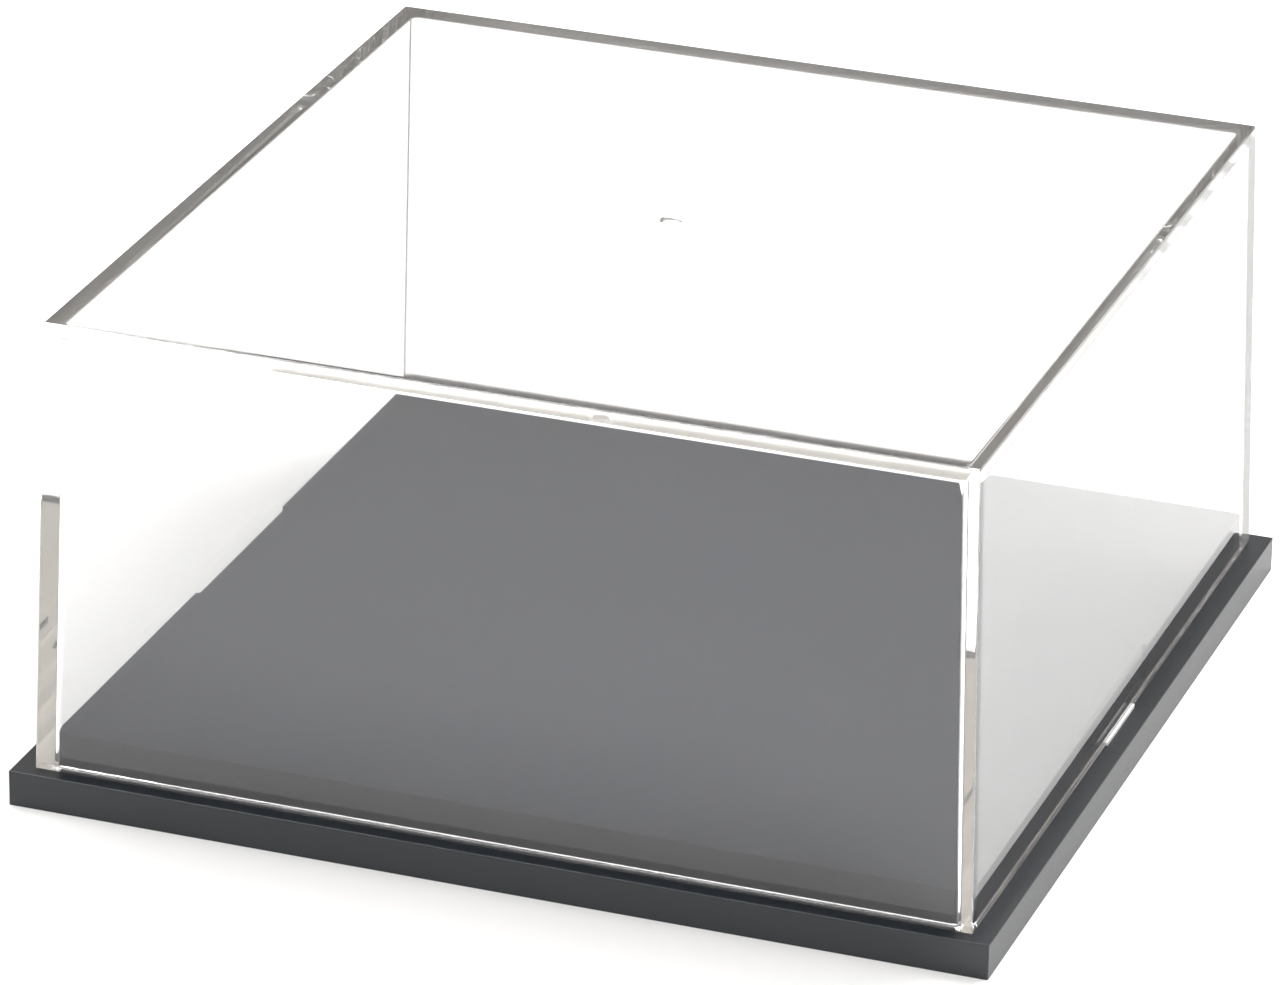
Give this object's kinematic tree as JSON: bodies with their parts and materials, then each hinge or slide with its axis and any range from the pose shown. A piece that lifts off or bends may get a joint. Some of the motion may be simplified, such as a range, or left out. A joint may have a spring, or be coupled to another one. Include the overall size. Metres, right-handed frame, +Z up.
{
  "type": "display case",
  "caption": "Low square display case: a one-piece clear cover with drafted walls lifts off a black base with a raised plinth.",
  "frame": {"origin": "centre of the base's underside, in the plane that the case stands on", "axes": "+X to the right along the wider side of the base, -Y to the front, +Z up, the way the cover lifts"},
  "size_m": [0.2, 0.198, 0.1008],
  "materials": {
    "clear_plastic": "polished clear moulded plastic",
    "black_plastic": "black moulded plastic, satin rim and finely grained plinth"
  },
  "bodies": {
    "base": {"base": "black_plastic"},
    "cover": {"clear_cover": "clear_plastic"}
  },
  "joints": [
    {"name": "cover_lift", "type": "slide", "parent": "base", "child": "cover", "axis": [0, 0, 1], "range_m": [0, 0.12]}
  ]
}
